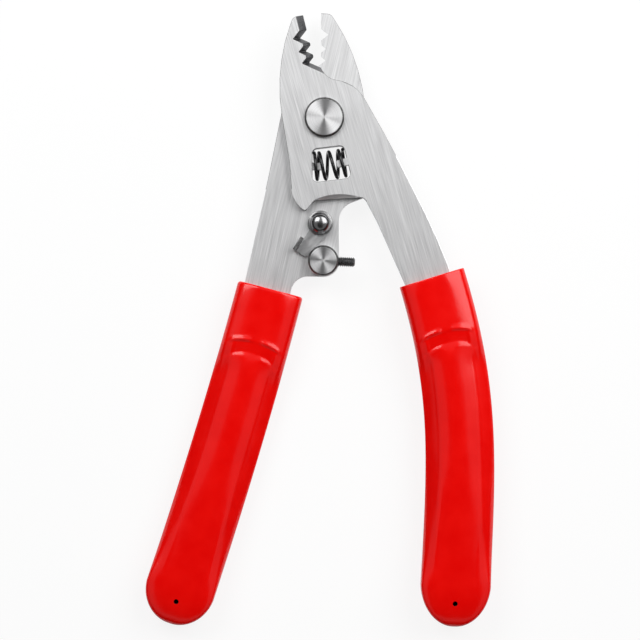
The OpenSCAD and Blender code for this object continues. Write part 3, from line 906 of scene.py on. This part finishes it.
FLOOR_GAP = 0.1 * MM       # the floor lies this far below the tool's back
TOOL_MIDDLE = (-1.157 * MM, -54.45 * MM)
FACES_Z, CAMERA_FAR, VIEW_WIDE, FILM = 7.5 * MM, 0.8, 0.17227, 36


def soft_box(name, place, size, level, aim):
    """A soft lamp of a given brightness, aimed at a point."""
    light = bpy.data.lights.new(name, "AREA")
    light.shape = "RECTANGLE"
    light.size, light.size_y = size
    light.energy = level * 4 * size[0] * size[1]
    holder = bpy.data.objects.new(name, light)
    bpy.context.scene.collection.objects.link(holder)
    holder.location = place
    holder.rotation_mode = "QUATERNION"
    holder.rotation_quaternion = (Vector(aim) - Vector(place)).to_track_quat("-Z", "Y")
    holder.visible_camera = False


def matt(name, grey):
    """A dull card or paper of one grey."""
    finish, nodes, links, shader = new_finish(name)
    shader.inputs["Base Color"].default_value = (grey, grey, grey, 1)
    shader.inputs["Roughness"].default_value = 0.9
    shader.inputs["Specular IOR Level"].default_value = 0.1
    return finish, nodes, links, shader


def worked(nodes, links, how, first, second):
    """What one node works out from two values. The second may be a plain number."""
    node = nodes.new("ShaderNodeMath")
    node.operation = how
    links.new(first, node.inputs[0])
    if isinstance(second, float):
        node.inputs[1].default_value = second
    else:
        links.new(second, node.inputs[1])
    return node.outputs[0]


soft_box("left_box", (-0.30, 0.42, 0.56), (0.56, 0.42), 4.0, aim=(0, 0.42, 0))
soft_box("right_box", (0.42, 0.45, 0.51), (0.90, 0.55), 3.0, aim=(0, 0.45, 0))

# The floor glows white where the lens or a polished face sees it, and keeps its shadow
bpy.ops.object.select_all(action="DESELECT")
bpy.ops.mesh.primitive_plane_add(size=6, location=(0, 0, -FLOOR_GAP))
floor = bpy.context.object
floor.name = "floor"
paper, nodes, links, shader = matt("floor_paper", 0.92)
path = nodes.new("ShaderNodeLightPath")
seen = path.outputs["Is Camera Ray"]
for kind in ("Is Glossy Ray", "Is Transmission Ray"):
    seen = worked(nodes, links, "MAXIMUM", seen, path.outputs[kind])
share = worked(nodes, links, "MULTIPLY", seen, 0.86)
glow = nodes.new("ShaderNodeEmission")
glow.inputs["Color"].default_value = (1, 1, 1, 1)
mix = nodes.new("ShaderNodeMixShader")
links.new(share, mix.inputs["Fac"])
links.new(shader.outputs["BSDF"], mix.inputs[1])
links.new(glow.outputs["Emission"], mix.inputs[2])
links.new(mix.outputs["Shader"], nodes["Material Output"].inputs["Surface"])
floor.data.materials.append(paper)

black_card = matt("black_card", 0.04)[0]
bpy.ops.mesh.primitive_plane_add(size=1, location=(0, -0.50, 1.2))
lens_card = bpy.context.object
lens_card.name = "lens_card"
lens_card.scale = (0.9, 1.2, 1)
bpy.ops.mesh.primitive_cylinder_add(vertices=96, radius=0.9, depth=0.5, end_fill_type="NOTHING",
                                    location=(0, -0.05, 0.251))
low_card = bpy.context.object
low_card.name = "low_card"
for card in (lens_card, low_card):
    card.data.materials.append(black_card)
    card.visible_camera = False

world = bpy.data.worlds.new("studio_air")
bpy.context.scene.world = world
world.use_nodes = True
world.node_tree.nodes["Background"].inputs["Color"].default_value = (0.33, 0.33, 0.33, 1)
world.node_tree.nodes["Background"].inputs["Strength"].default_value = 1.0

lens = bpy.data.cameras.new("camera")
camera = bpy.data.objects.new("camera", lens)
bpy.context.scene.collection.objects.link(camera)
bpy.context.scene.camera = camera
camera.location = (*TOOL_MIDDLE, CAMERA_FAR + FACES_Z)
lens.sensor_width = FILM
lens.lens = FILM * CAMERA_FAR / VIEW_WIDE
lens.clip_start, lens.clip_end = 0.01, 20
bpy.context.scene.view_settings.view_transform = "Standard"
